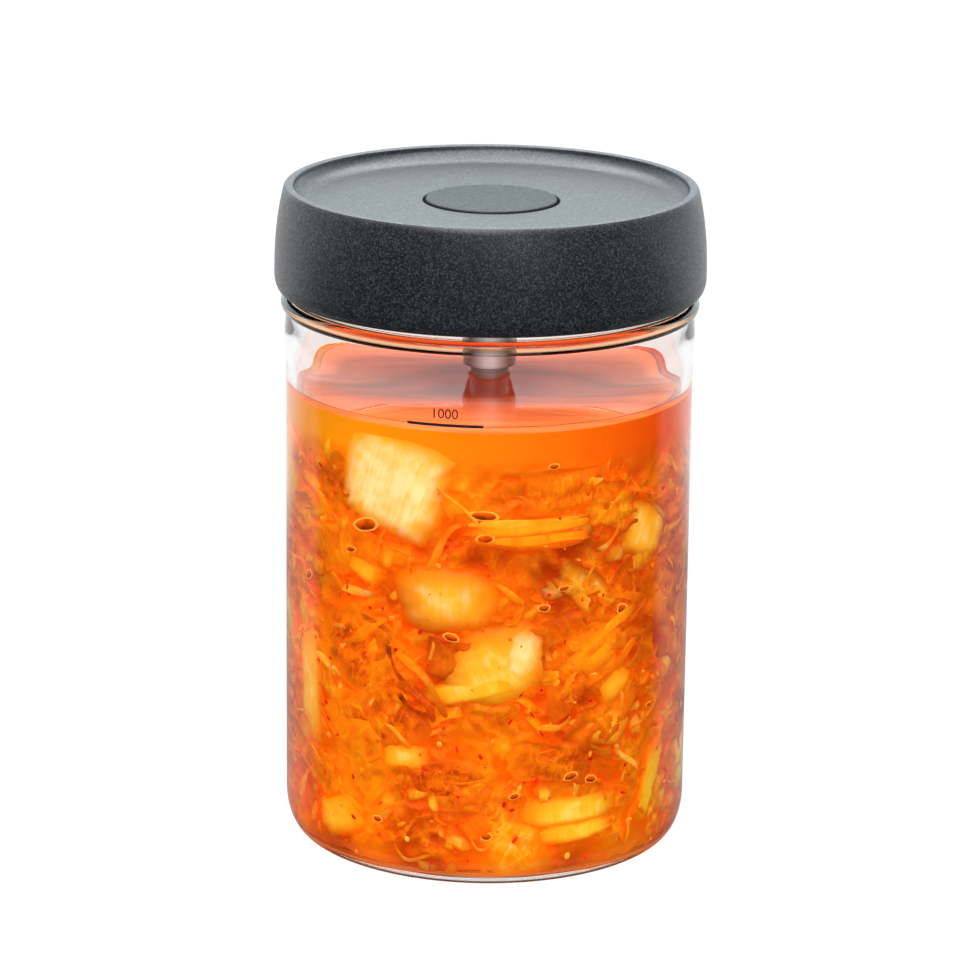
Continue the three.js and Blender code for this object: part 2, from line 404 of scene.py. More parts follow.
def capMaterial(name, colour, flecks, roughness, specular):
    shader = Shader(name)
    cloud = shader.noise(grainSpec["cloud"], 3, 0.55)
    dark, light = [c * 0.9 for c in colour], [c * 1.12 for c in colour]
    tone = shader.mix(shader.spread(cloud, 0.3, 0.7), dark, light)
    grain = shader.noise(grainSpec["grain"], 2, 0.6)
    cells = shader.add("ShaderNodeTexVoronoi", {"Vector": shader.coords, "Scale": grainSpec["sparks"]})
    spark = shader.spread(cells.outputs["Color"], 0.5, 0.96)
    shader.wire(shader.mix(spark, tone, flecks), "Base Color")
    rough = shader.spread(grain, 0.3, 0.7, roughness - 0.06, roughness + 0.06)
    shader.wire(shader.math("SUBTRACT", rough, shader.math("MULTIPLY", spark, 0.1)), "Roughness")
    shader.bump(grain, 0.4, 0.0001)
    shader.set(Specular_IOR_Level=specular)
    return shader.material


anthracite = capMaterial("anthracitePlastic", (0.0095, 0.0105, 0.0145), (0.064, 0.072, 0.089), 0.38, 0.6)
buttonGrey = capMaterial("buttonPlastic", (0.009, 0.012, 0.0155), (0.046, 0.056, 0.067), 0.46, 0.22)
capMesh = turnedMesh("capShell", capOutline(capSpec), 224, 50)
addPiece("capShell", capMesh, anthracite, ["cap"])
buttonMesh = turnedMesh("capButton", buttonOutline(buttonSpec), 160, 50)
addPiece("capButton", buttonMesh, buttonGrey, ["cap_button"])
print("cap and button turned")


# Steel stem: a turned rod with a collar and a narrower tip that just dips into the brine
stemSpec = dict(tipRadius=5.1, tipEase=0.5, neckEase=0.3, collar=127.4, collarEase=0.7, collarDrop=0.8)


def stemOutline(spec):
    tip, ease, neck = spec["tipRadius"], spec["tipEase"], spec["neckEase"]
    collar, edge, drop = spec["collar"], spec["collarEase"], spec["collarDrop"]
    return [
        (0, stemTip),
        *arc(tip - ease, stemTip + ease, ease, ease, -90, 0, 4),
        *arc(tip + neck, collar - drop - neck, neck, neck, 180, 90, 3),
        *arc(stemRadius - edge, collar, edge, drop, -90, 0, 4),
        (stemRadius, stemTop),
        (0, stemTop),
    ]


def steelMaterial():
    # turning marks all round, and a painted highlight (emission) down the middle of the collar, weaker on
    # the narrow tip
    shader = Shader("turnedSteel")
    rings = shader.noise(1, 2, 0.6, vector=shader.scaled(60, 60, 2600))
    shader.wire(shader.ramp(rings, [(0.3, (0.30, 0.31, 0.32)), (0.7, (0.52, 0.53, 0.54))]), "Base Color")
    shader.wire(shader.spread(rings, 0.3, 0.7, 0.3, 0.45), "Roughness")
    # painted highlight: emission strongest down the middle, fading to the sides and weaker on the tip
    across = shader.math("ABSOLUTE", shader.place()["X"])
    gleam = shader.spread(across, 0.8 * mm, 5.2 * mm, 0.62, 0.02)
    collar = shader.spread(shader.fromAxis(), 5.2 * mm, 6.4 * mm, 0.3, 1.0)
    shader.wire(shader.math("MULTIPLY", gleam, collar), "Emission Strength")
    shader.set(Metallic=1.0, Anisotropic=0.4, Emission_Color=(0.60, 0.60, 0.60, 1))
    shader.bump(rings, 0.15, 0.0001)
    return shader.material


stemMesh = turnedMesh("valveStem", stemOutline(stemSpec), 96)
addPiece("valveStem", stemMesh, steelMaterial(), ["valve_stem"])
print("stem turned")


# Brine: fills the glass up to the mark, reaches just into the wall and climbs it a little at the top
brineSpec = dict(level=124.3, intoWall=0.2, climb=0.4, climbRun=1.2, climbCurve=2.2, stemClimb=0.25)


def brineOutline(spec):
    level = spec["level"]
    side = innerRadius + spec["intoWall"]
    cornerR = side - glassSpec["innerCornerWide"]
    floor = jar["floor"] - spec["intoWall"]
    cornerZ = floor + glassSpec["innerCornerHigh"]
    rise = []
    for t in (0, 0.2, 0.45, 0.7, 1):
        rise.append((side - spec["climbRun"] * t, level + spec["climb"] * (1 - t) ** spec["climbCurve"]))
    inner = stemSpec["tipRadius"]
    return [
        (0, floor),
        *arc(cornerR, cornerZ, glassSpec["innerCornerWide"], glassSpec["innerCornerHigh"], -90, 0, 14),
        *rise,
        (inner + 1.4, level),
        (inner + 0.4, level + spec["stemClimb"] * 0.4),
        (inner - 0.1, level + spec["stemClimb"]),
        (0, level + spec["stemClimb"]),
    ]


def brineMaterial():
    shader = Shader("orangeBrine")
    shader.set(Base_Color=(1.0, 0.86, 0.62, 1), Transmission_Weight=1, Roughness=0.0, IOR=1.34)
    ripple = shader.noise(60, 0)
    shader.bump(ripple, 0.008, 0.0005)
    return shader.material


brine = addPiece("brine", turnedMesh("brine", brineOutline(brineSpec), 192), brineMaterial())
brine.visible_shadow = False
print("brine poured")


# Cut cabbage against the glass. Flat pieces are drawn as x across, y inwards and z up.
packSpec = dict(
    reach=51.1, highest=119.5, press=0.35, floorGap=0.4, glassGap=0.12,
    perDegree=0.88,  # millimetres round the wall
    hazeFrom=46.4,  # the brine hides all nearer the axis than this
    hazeTo=51.0,
)


def wallAt(height):
    drop = np.clip(1 - (height - jar["floor"]) / glassSpec["innerCornerHigh"], 0, 1)
    return innerRadius - glassSpec["innerCornerWide"] * (1 - np.sqrt(1 - drop * drop))


def laidRound(points, turn, z, tilt, reach, slack):
    # bent round the jar and pressed flat where it meets the glass
    lean = math.radians(tilt)
    x, y, up = points.T
    across = x * math.cos(lean) - up * math.sin(lean)
    height = z + x * math.sin(lean) + up * math.cos(lean)
    height = np.clip(height, jar["floor"] + packSpec["floorGap"] + slack, packSpec["highest"] - slack)
    wall = wallAt(height) - packSpec["glassGap"] - slack
    press = packSpec["press"]
    r = wall - press * np.logaddexp(0, (wall - reach + y) / press)
    a = math.radians(turn - 90) + across / reach
    return np.stack([r * np.cos(a), r * np.sin(a), height], 1)


def outline(wide, high, square, ragged, around, seed):
    turn = np.linspace(0, 2 * math.pi, around, endpoint=False)
    rim = []
    for c, s in zip(np.cos(turn), np.sin(turn)):
        coarse, fine = noise.noise((1.3 * c, 1.3 * s, seed)), noise.noise((3 * c, 3 * s, seed))
        wobble = 1 + ragged * (coarse + 0.6 * fine)
        x = math.copysign(abs(c) ** square, c) * wide / 2
        z = math.copysign(abs(s) ** square, s) * high / 2
        rim.append((x * wobble, z * wobble))
    return np.array(rim)


def pillow(rim, rings, front, back):
    # two domed sheets over one outline, closed along the rim; share runs from 0 in the middle to 1 there
    n, rows = len(rim), 2 * rings - 1
    share = np.sin(np.linspace(0, 1, rings + 1)[1:] * math.pi / 2)
    share = np.concatenate([share, share[-2::-1]])
    side = np.where(np.arange(rows) < rings, -front, back)
    depth = side * np.sqrt(np.clip(1 - share**2, 0, 1))
    points = [(0, -front, 0)]
    for s, d in zip(share, depth):
        points.extend((x * s, d, z * s) for x, z in rim)
    points.append((0, back, 0))
    faces = []
    last = 1 + rows * n
    for j in range(n):
        k = (j + 1) % n
        faces.append((0, 1 + j, 1 + k))
        for i in range(rows - 1):
            a, b = 1 + i * n, 1 + (i + 1) * n
            faces.append((a + j, b + j, b + k, a + k))
        faces.append((last, last - n + k, last - n + j))
    return np.array(points), faces, np.concatenate([[0], np.repeat(share, n), [0]])


def ribbon(long, wide, thick, wave, phase, steps=20, around=8):
    # a flat strip that waves and twists along its length
    points, faces = [(-long / 2, 0, wave * math.sin(phase - 2.4))], []
    for i in range(1, steps):
        t = 2 * i / steps - 1
        taper = (1 - t**4) ** 0.5
        roll = 0.9 * math.sin(phase + 1.7 * t)
        for j in range(around):
            a = 2 * math.pi * j / around
            u, w = wide / 2 * taper * math.cos(a), thick / 2 * taper * math.sin(a)
            y = 0.5 * wave * math.sin(1.7 * phase + 4 * t) + u * math.sin(roll) + w * math.cos(roll)
            z = wave * math.sin(phase + 2.4 * t) + u * math.cos(roll) - w * math.sin(roll)
            points.append((t * long / 2, y, z))
    points.append((long / 2, 0, wave * math.sin(phase + 2.4)))
    last = len(points) - 1
    for j in range(around):
        k = (j + 1) % around
        faces.append((0, 1 + k, 1 + j))
        for i in range(steps - 2):
            a, b = 1 + i * around, 1 + (i + 1) * around
            faces.append((a + j, a + k, b + k, b + j))
        faces.append((last, last - around + j, last - around + k))
    return np.array(points), faces


# Places where only the cloudy brine shows, as (turn, z, half width, half height)
smoothSpots = [
    (-27, 106, 15, 13),
    (6, 86, 17, 7),
    (-12, 77, 11, 9),
    (-14, 67.5, 9, 4),
    (4, 60, 11, 8),
    (-8, 40, 9, 5),
    (-40, 9, 16, 6),
    (34, 8, 18, 5),
]


def inSmooth(turn, z):
    turn = (turn + 180) % 360 - 180
    for t, height, wide, high in smoothSpots:
        if math.hypot((turn - t) * packSpec["perDegree"] / wide, (z - height) / high) < 1:
            return True
    return False


class Batch:
    # pieces of one kind as one mesh; each point has its piece's tone, how far it fades into the brine
    # and its place in the flat piece
    def __init__(self, name):
        self.name = name
        self.points, self.faces, self.tones, self.fades, self.flats = [], [], [], [], []
        self.count = 0

    def put(self, flat, faces, tone, spot, reach, slack, fade):
        points = laidRound(flat, spot["turn"], spot["z"], spot["tilt"], reach, slack)
        self.faces.extend(tuple(i + self.count for i in face) for face in faces)
        self.points.append(points)
        self.tones.append(np.broadcast_to(tone, len(points)))
        self.fades.append(np.broadcast_to(fade, len(points)))
        self.flats.append(flat + np.array([0, 40 * len(self.flats), 0]))  # set apart, so no two look alike
        self.count += len(points)

    def lay(self, material, sharpAngle=75):
        mesh = smooth(meshFrom(self.name, np.concatenate(self.points), self.faces), sharpAngle)
        for name, kind, field, values in (
            ("tone", "FLOAT", "value", self.tones),
            ("fade", "FLOAT", "value", self.fades),
            ("flat", "FLOAT_VECTOR", "vector", self.flats),
        ):
            flat = np.concatenate(values).astype(np.float32).ravel()
            mesh.attributes.new(name, kind, "POINT").data.foreach_set(field, flat)
        print(self.name, len(self.flats), "pieces,", len(mesh.polygons), "faces")
        return addPiece(self.name, mesh, material)


murkSpec = dict(calmFrom=106, calmTo=115, across=42)
murkTones = [
    (0.34, (0.52, 0.056, 0.001)),
    (0.45, (0.80, 0.120, 0.001)),
    (0.55, (0.94, 0.178, 0.001)),
    (0.66, (1.0, 0.26, 0.002)),
]
glowSpec = dict(flankFrom=4, flankTo=40, flank=0.3, baseFrom=6, baseTo=24, base=1.5)


def calmShare(shader, height):
    # how much of the calm brine under the surface shows at a height
    return shader.spread(height, murkSpec["calmFrom"] * mm, murkSpec["calmTo"] * mm)


def murk(shader):
    # cloudy brine: orange all over, redder and darker on the right as painted side shade, brighter and
    # calmer under the surface
    place = shader.place()
    body = shader.ramp(shader.noise(42, 1), murkTones)
    # left to right the colour darkens and reddens: painted side shade
    across = shader.spread(place["X"], -murkSpec["across"] * mm, murkSpec["across"] * mm)
    surface = shader.mix(across, (1.0, 0.34, 0.004), (0.92, 0.095, 0.0005))
    body = shader.mix(across, body, shader.mix(1.0, body, (0.78, 0.72, 0.8), "MULTIPLY"))
    return shader.mix(calmShare(shader, place["Z"]), body, surface)


def hazed(shader, colour, keep):
    # the further from the glass, the more the cloudy brine hides; keep fades a piece out as well
    low, high = packSpec["hazeFrom"] * mm, packSpec["hazeTo"] * mm
    near = shader.spread(shader.fromAxis(), low, high, kind="SMOOTHSTEP")
    return shader.mix(shader.math("MULTIPLY", near, keep), murk(shader), colour)


def glowing(shader, colour, strength):
    # light that comes through the jar from behind: strongest at front and back, and near the base
    place, spec = shader.place(), glowSpec
    depth = shader.math("ABSOLUTE", place["Y"])
    flank = shader.spread(depth, spec["flankFrom"] * mm, spec["flankTo"] * mm, spec["flank"], 1.0)
    low = shader.spread(place["Z"], spec["baseFrom"] * mm, spec["baseTo"] * mm, spec["base"], 1.0)
    through = shader.math("MULTIPLY", flank, low)
    shader.wire(colour, "Base Color")
    shader.wire(colour, "Emission Color")
    shader.wire(shader.math("MULTIPLY", through, strength), "Emission Strength")


pickleTones = [
    (0.00, (0.09, 0.008, 0.001)),
    (0.18, (0.50, 0.050, 0.001)),
    (0.34, (0.85, 0.128, 0.001)),
    (0.50, (0.97, 0.225, 0.002)),
    (0.64, (0.95, 0.34, 0.006)),
    (0.80, (1.0, 0.48, 0.035)),
    (1.00, (1.0, 0.74, 0.38)),
]


def lines(shader, scale, width, vector=None):
    # thin wandering lines, where a noise crosses its middle
    field = shader.noise(scale, 1, 0.6, vector)
    off = shader.math("ABSOLUTE", shader.math("SUBTRACT", field, 0.5))
    return shader.spread(off, 0.0, width, 1.0, 0.0)


def pickleMaterial(name, fibre, ribs, blotch, veins, glow):
    # tone picks the colour; fibres run up the flat piece, light veins and dark lines of painted crease shade
    # wander over it
    shader = Shader(name)
    flat = shader.add("ShaderNodeAttribute", attribute_name="flat").outputs["Vector"]
    streaks = shader.noise(1, 2, 0.6, shader.scaled(*fibre, vector=flat))
    patches = shader.noise(0.2, 1, 0.6, flat)
    tone = shader.math("ADD", shader.attribute("tone"), shader.spread(streaks, 0.25, 0.75, -ribs, ribs))
    tone = shader.math("ADD", tone, shader.spread(patches, 0.25, 0.75, -blotch, blotch))
    along = shader.scaled(1, 1, 0.4, vector=flat)
    # light lines are veins, dark lines are painted crease shade
    light, dark = lines(shader, 0.26, 0.05, along), lines(shader, 0.36, 0.03, along)
    tone = shader.math("ADD", tone, shader.math("MULTIPLY", light, veins))
    tone = shader.math("SUBTRACT", tone, shader.math("MULTIPLY", dark, veins * 0.8))
    own = shader.ramp(tone, pickleTones)
    khaki = shader.spread(shader.noise(34, 0), 0.54, 0.66)
    own = shader.mix(khaki, own, shader.mix(1.0, own, (0.88, 1.05, 0.75), "MULTIPLY"))
    keep = shader.math("SUBTRACT", 1.0, shader.attribute("fade"))
    glowing(shader, hazed(shader, own, keep), glow)
    shader.set(Roughness=0.5, Specular_IOR_Level=0.12)
    return shader.material


def faded(share, start, sunk=0.0):
    # fades from the middle part of a piece out to its rim, and all of it by how far it is sunk
    rim = np.clip((share - start) / (1 - start), 0, 1) ** 1.3
    return 1 - (1 - rim) * (1 - sunk)


# Packed core: what shows behind the pieces, a crumpled and cloudy mass of leaf
coreSpec = dict(
    radius=48.2, top=122.6, low=3.0, around=330, up=190, crumple=3.4, calmFrom=107,
    calmTo=115,
    calmOut=0.9,  # smooth and a little wider there
    skin=0.3,  # depth of the top layer that carries the painted reflection seen on the brine surface
    seed=7,  # noise vectors follow the clock without one
)
coreTones = [
    (0.28, (0.50, 0.050, 0.001)),
    (0.42, (0.88, 0.13, 0.001)),
    (0.55, (0.97, 0.22, 0.002)),
    (0.70, (1.0, 0.36, 0.010)),
]
filmTones = [
    (0.0, (0.40, 0.035, 0.003)),
    (0.22, (0.42, 0.040, 0.004)),
    (0.42, (0.66, 0.12, 0.04)),
    (0.9, (0.72, 0.17, 0.06)),
    (1.0, (0.70, 0.15, 0.04)),
]


def crumple(x, y, z):
    warp = noise.noise_vector((x / 16, y / 16, z / 16)) * 5
    p = Vector((x, y, z)) + warp
    coarse = 1 - abs(noise.noise(p / 11)) * 2
    middle = 1 - abs(noise.noise(p / 4.6)) * 2
    fine = noise.noise(p / 1.8)
    return 0.55 * coarse + 0.35 * middle + 0.15 * fine


def coreMesh(spec):
    noise.seed_set(spec["seed"])
    points = []
    n, m = spec["around"], spec["up"]
    for j in range(m + 1):
        z = spec["low"] + (spec["top"] - spec["low"]) * j / m
        calm = min(1, max(0, (z - spec["calmFrom"]) / (spec["calmTo"] - spec["calmFrom"])))
        corner = innerRadius - wallAt(z)
        for i in range(n):
            a = 2 * math.pi * i / n
            c, s = math.cos(a), math.sin(a)
            bump = crumple(spec["radius"] * c, spec["radius"] * s, z)
            rough = spec["crumple"] * (bump - 0.45) * (1 - calm)
            r = spec["radius"] - corner + rough + spec["calmOut"] * calm
            points.append((r * c, r * s, z))
    faces = tubeFaces(n, m)
    faces.append(tuple(range(n - 1, -1, -1)))
    faces.append(tuple(m * n + i for i in range(n)))
    return smooth(meshFrom("packedCore", points, faces), 70)


def coreMaterial():
    shader = Shader("packedLeaf")
    leaf = shader.ramp(shader.noise(130, 2, 0.6), coreTones)
    leaf = shader.mix(lines(shader, 170, 0.04), leaf, (1.0, 0.34, 0.012))
    # dark lines: painted crease shade
    leaf = shader.mix(shader.math("MULTIPLY", lines(shader, 210, 0.03), 0.4), leaf, (0.34, 0.03, 0.001))
    height = shader.place()["Z"]
    body = hazed(shader, leaf, shader.math("SUBTRACT", 1.0, calmShare(shader, height)))
    # the top layer is a painted reflection of the neck and cap on the liquid surface: beige in the middle,
    # dark red at the rim, in streaks
    away = shader.spread(shader.fromAxis(), 0.0, (coreSpec["radius"] + coreSpec["calmOut"]) * mm)
    film = shader.ramp(away, filmTones)
    drift = shader.spread(shader.noise(1, 1, vector=shader.scaled(22, 150, 1)), 0.3, 0.7, 0.9, 1.5)
    film = shader.mix(1.0, film, drift, "MULTIPLY")
    skin = (coreSpec["top"] - coreSpec["skin"]) * mm
    top = shader.spread(height, skin, skin + 0.2 * mm)
    glowing(shader, shader.mix(top, body, film), shader.spread(top, 0, 1, 0.50, 1.3))
    shader.set(Roughness=0.6, Specular_IOR_Level=0.1)
    return shader.material


addPiece("packedCore", coreMesh(coreSpec), coreMaterial(), ["cabbage"])
print("core packed")


# White stalk: thick slabs with ribs, placed where the large pale pieces lie
def stalkSpot(turn, z, wide, high, tilt, tone, soft=0.6, thick=7, square=0.62):
    spot = dict(turn=turn, z=z, wide=wide, high=high, tilt=tilt, tone=tone)
    return dict(spot, soft=soft, thick=thick, square=square)


stalkRows = [
    (-28.5, 106.5, 31, 26, -18, 0.97, 0.6, 9, 0.5),
    (-12, 78, 27, 20, 0, 0.84, 0.0, 9, 0.9),
    (3, 60, 30, 21, 26, 0.80, 0.35, 9, 0.8),
    (10, 63, 13, 18, -14, 0.92, 0.3, 9, 0.8),
    (-3, 54, 27, 7, 12, 0.77, 0.5, 8),
    (14, 97.6, 36, 4.5, 3, 0.66, 0.7, 7),
    (15, 94, 30, 4, 2, 0.60, 0.7, 7),
    (52, 92, 17, 16, -30, 0.80, 0.5, 8),
    (34, 63, 20, 13, 40, 0.60, 0.3, 6, 0.8),
    (40, 52, 13, 8, 35, 0.68, 0.3, 6),
    (38, 41, 15, 11, -16, 0.76, 0.2, 8),
    (27, 19.5, 26, 9, 2, 0.82, 0.4, 9),
    (28, 13.5, 22, 6, 4, 0.76, 0.4, 8),
    (57, 22, 7, 22, -22, 0.78, 0.6, 6),
    (-62, 46, 11, 32, 4, 0.78, 0.5, 6),
    (-24, 34, 14, 8, 6, 0.78, 0.2, 7),
    (-38, 83, 12, 6, -24, 0.72, 0.3, 6),
    (-48, 13, 15, 11, 20, 0.76, 0.3, 6),
    (-2, 16, 9, 7, 40, 0.42, 0.5, 6),
]
backStalks = dict(count=18, start=78, end=285, wide=(12, 30), high=(9, 26), tone=(0.55, 0.92))


def stalkBatch(spots, back):
    dice = random.Random(5)
    spots = list(spots)
    for i in range(back["count"]):
        turn = back["start"] + (back["end"] - back["start"]) * (i + dice.random()) / back["count"]
        wide, high, tone = (dice.uniform(*back[key]) for key in ("wide", "high", "tone"))
        spots.append(stalkSpot(turn, 14 + (i * 37 + 9) % 92, wide, high, dice.uniform(-35, 35), tone))
    batch = Batch("stalkPieces")
    for i, spot in enumerate(spots):
        rim = outline(spot["wide"], spot["high"], spot["square"], 0.16, 60, i * 7.3)
        thick = spot["thick"]
        flat, faces, share = pillow(rim, 13, thick * 0.5, thick * 0.5)
        for p in flat:
            rib = noise.noise((p[0] / 1.7, p[2] / 15, i * 3.1))
            swell = noise.noise((p[0] / 5, p[2] / 9, i * 5.7))
            p[1] += 0.25 * (rib + 0.6 * swell)
        tone = spot["tone"] - 0.22 * share**2.5
        reach = packSpec["reach"] - thick * 0.36
        batch.put(flat, faces, tone, spot, reach, dice.uniform(0, 0.3), faded(share, spot["soft"]))
    return batch


stalkLook = dict(fibre=(0.7, 0.3, 0.06), ribs=0.05, blotch=0.08, veins=0.03, glow=0.58)
stalkBatch([stalkSpot(*row) for row in stalkRows], backStalks).lay(pickleMaterial("whiteStalk", **stalkLook))


# Leaf: ruffled sheets of all sizes, thin and wavy, some pressed to the glass and some behind
leafSpec = dict(
    count=96, size=(10, 28), thick=0.7, ruffle=(1.2, 2.6), reach=(48.8, 51.0),
    tone=(0.36, 0.68),
    frontReach=50.4,  # of the ones listed
    frontSunk=0.1,
)
leafKeys = "turn z wide high tilt tone"
leafSpots = rowsOf(leafKeys, [
    (-40, 60, 26, 20, -30, 0.30),
    (-34, 42, 28, 15, 12, 0.34),
    (-12, 28, 30, 13, 4, 0.30),
    (29, 62, 26, 22, 48, 0.40),
    (42, 76, 20, 15, 36, 0.34),
    (22, 106, 34, 11, -4, 0.42),
    (-48, 88, 20, 16, 14, 0.42),
    (20, 34, 24, 12, -14, 0.36),
])


def leafBatch(spec, spots):
    dice = random.Random(21)
    spots = list(spots)
    for i in range(spec["count"]):
        turn, z = (i * goldenTurn + 40) % 360, 7 + 100 * (i + dice.random()) / spec["count"]
        wide = dice.uniform(*spec["size"])
        high = wide * dice.uniform(0.4, 0.8)
        tilt, tone = dice.uniform(-60, 60), dice.uniform(*spec["tone"])
        spots.extend(rowsOf(leafKeys, [(turn, z, wide, high, tilt, tone)]))
    batch = Batch("leafSheets")
    for i, spot in enumerate(spots):
        rim = outline(spot["wide"], spot["high"], 0.85, 0.5, 40, i * 4.9)
        flat, faces, share = pillow(rim, 9, spec["thick"] / 2, spec["thick"] / 2)
        depth = dice.uniform(*spec["ruffle"])
        for p in flat:
            fold = 1 - 2 * abs(noise.noise((p[0] / 7, p[2] / 4.5, i * 2.3)))
            crimp = 1 - 2 * abs(noise.noise((p[0] / 2.6, p[2] / 2.6, i * 9.1)))
            p[1] -= depth * (fold - 0.5) + 0.35 * depth * (crimp - 0.5)
        reach, slack, sunk = dice.uniform(*spec["reach"]), dice.uniform(0, 0.4), dice.uniform(0, 0.6)
        if i < len(leafSpots):
            reach, sunk = spec["frontReach"], spec["frontSunk"]
        if not inSmooth(spot["turn"], spot["z"]):
            tone = spot["tone"] - 0.06 * share**3
            batch.put(flat, faces, tone, spot, reach, slack, faded(share, 0.5, sunk))
    return batch


leafLook = dict(fibre=(0.7, 0.5, 0.25), ribs=0.08, blotch=0.15, veins=0.16, glow=0.50)
leafBatch(leafSpec, leafSpots).lay(pickleMaterial("ruffledLeaf", **leafLook))


# Shreds: narrow wavy strips, with the dark strips of painted crack shadow and the longer ones of the front
# listed one by one
shredSpec = dict(count=210, long=(6, 24), wide=(0.7, 3.4), thick=0.8, wave=(0.5, 2.8), tone=(0.36, 0.80))
shredSpots = rowsOf("turn z tilt long wide wave tone", [
    # the first four rows are dark strips, painted shadow of a crack between the pieces
    (-33, 69, -40, 13, 1.8, 1.2, 0.18),
    (-27, 60, -64, 16, 2.2, 1.0, 0.14),
    (-20, 50.5, -46, 15, 3.0, 1.4, 0.16),
    (-22, 49, -30, 11, 2.0, 1.0, 0.16),
    (-18, 55, -50, 22, 2.6, 1.2, 0.62),
    (12, 99, 4, 34, 2.2, 0.7, 0.70),
    (12, 93, -3, 30, 2.0, 0.8, 0.36),
    (36, 66, 38, 26, 3.2, 1.5, 0.62),
    (30, 60, 52, 24, 3.0, 1.6, 0.50),
    (40, 58, 30, 22, 2.6, 1.3, 0.44),
    (-38, 66, 24, 18, 3.4, 1.6, 0.48),
])


def shredBatch(spec, spots):
    dice = random.Random(33)
    spots = list(spots)
    for i in range(spec["count"]):
        spot = {key: dice.uniform(*spec[key]) for key in ("long", "wide", "wave", "tone")}
        z = 5 + 106 * (i + dice.random()) / spec["count"]
        spots.append(dict(spot, turn=(i * goldenTurn + 11) % 360, z=z, tilt=dice.uniform(-70, 70)))
    batch = Batch("leafShreds")
    for i, spot in enumerate(spots):
        flat, faces = ribbon(spot["long"], spot["wide"], spec["thick"], spot["wave"], dice.uniform(0, 6.3))
        fade = faded(np.abs(2 * flat[:, 0] / spot["long"]), 0.5, dice.uniform(0, 0.7))
        reach, slack = packSpec["reach"] - dice.uniform(0.3, 2.2), dice.uniform(0, 0.35)
        byHand = i < len(shredSpots)
        if byHand:
            reach, slack = packSpec["reach"], 0.0
        if byHand or not inSmooth(spot["turn"], spot["z"]):
            batch.put(flat, faces, spot["tone"], spot, reach, slack, fade)
    return batch


shredLook = dict(fibre=(0.25, 0.5, 1.2), ribs=0.08, blotch=0.10, veins=0.08, glow=0.50)
shredBatch(shredSpec, shredSpots).lay(pickleMaterial("leafShred", **shredLook))


# Bits: small torn scraps that fill the gaps, more of them low in the jar
bitSpec = dict(count=460, size=(2.0, 8.0), tone=(0.38, 0.82), darkEvery=90, darkShare=0.4)


def bitBatch(spec):
    dice = random.Random(8)
    batch = Batch("leafBits")
    for i in range(spec["count"]):
        z = 4 + 106 * dice.random() ** 1.35
        size = dice.uniform(*spec["size"])
        rim = outline(size, size * dice.uniform(0.35, 0.9), 0.9, 0.5, 14, i * 2.7)
        flat, faces, share = pillow(rim, 4, 0.5, 0.5)
        for p in flat:
            p[1] -= 0.7 * noise.noise((p[0] / 2.4, p[2] / 2.4, i * 1.7))
        tone = dice.uniform(*spec["tone"]) - 0.06 * share**3
        if i % spec["darkEvery"] == 0:
            tone = tone * spec["darkShare"]
        spot = dict(turn=(i * goldenTurn + 70) % 360, z=z, tilt=dice.uniform(0, 180))
        reach = packSpec["reach"] - dice.uniform(0.2, 2.2)
        slack, sunk = dice.uniform(0, 0.35), dice.uniform(0, 0.7)
        if not inSmooth(spot["turn"], z):
            batch.put(flat, faces, tone, spot, reach, slack, faded(share, 0.4, sunk))
    return batch


bitLook = dict(fibre=(0.8, 0.5, 0.8), ribs=0.08, blotch=0.12, veins=0.14, glow=0.50)
bitBatch(bitSpec).lay(pickleMaterial("tornBit", **bitLook))


# Air pockets against the glass: wet, with painted shade in the hollow and a painted reflection as a light
# rim.
# Each is (turn, z, wide, high, tilt), and a seeded rule adds more.
pocketSpec = dict(more=18, size=(1.8, 4.4), front=0.25, back=0.7)
pocketSpots = [
    (-37, 95.4, 8.4, 3.6, 14),
    (-1, 101, 8.0, 2.6, -6),
    (-0.6, 94.9, 4.8, 2.7, 8),
    (16.5, 76, 3.4, 2.2, 0),
    (25.6, 29.2, 4.2, 2.2, 12),
    (32.2, 27.5, 3.8, 2.2, -10),
    (0.6, 14, 3.4, 2.2, 0),
    (8.6, 25, 3.0, 1.8, 20),
    (-32.5, 15.7, 3.0, 1.9, 0),
    (18.9, 113.6, 3.0, 1.6, 0),
]


def pocketBatch(spots):
    dice = random.Random(3)
    spots = list(spots)
    for i in range(pocketSpec["more"]):
        size = dice.uniform(*pocketSpec["size"])
        high = size * dice.uniform(0.4, 0.75)
        spots.append(((i * goldenTurn + 55) % 360, dice.uniform(8, 104), size, high, dice.uniform(-40, 40)))
    batch = Batch("airPockets")
    for i, (turn, z, wide, high, tilt) in enumerate(spots):
        rim = outline(wide, high, 0.95, 0.14, 26, i * 3.7)
        flat, faces, share = pillow(rim, 6, pocketSpec["front"], pocketSpec["back"])
        low = flat[:, 2] / high + 0.5  # 0 at the foot of the pocket and 1 at its top
        spot, reach = dict(turn=turn, z=z, tilt=tilt), packSpec["reach"] - 0.1
        batch.put(flat, faces, share, spot, reach, 0.0, np.clip(low, 0, 1))
    return batch


def pocketMaterial():
    # clear at the top, painted shade low in the hollow, with a painted reflection as a light line round it
    shader = Shader("airPocket")
    depths = [(0.2, (0.16, 0.014, 0.001)), (0.75, (0.80, 0.105, 0.002))]
    hollow = shader.ramp(shader.attribute("fade"), depths)
    share = shader.attribute("tone")
    cloud = shader.spread(shader.noise(500, 3), 0.3, 0.7, 0.7, 1.3)
    inside = shader.mix(1.0, hollow, cloud, "MULTIPLY")
    # the light rim line is a painted reflection
    line = shader.spread(share, 0.72, 0.86)
    glowing(shader, shader.mix(line, inside, (1.0, 0.42, 0.06)), 0.6)
    shader.set(Roughness=0.16, Specular_IOR_Level=0.3)
    return shader.material


pocketBatch(pocketSpots).lay(pocketMaterial())


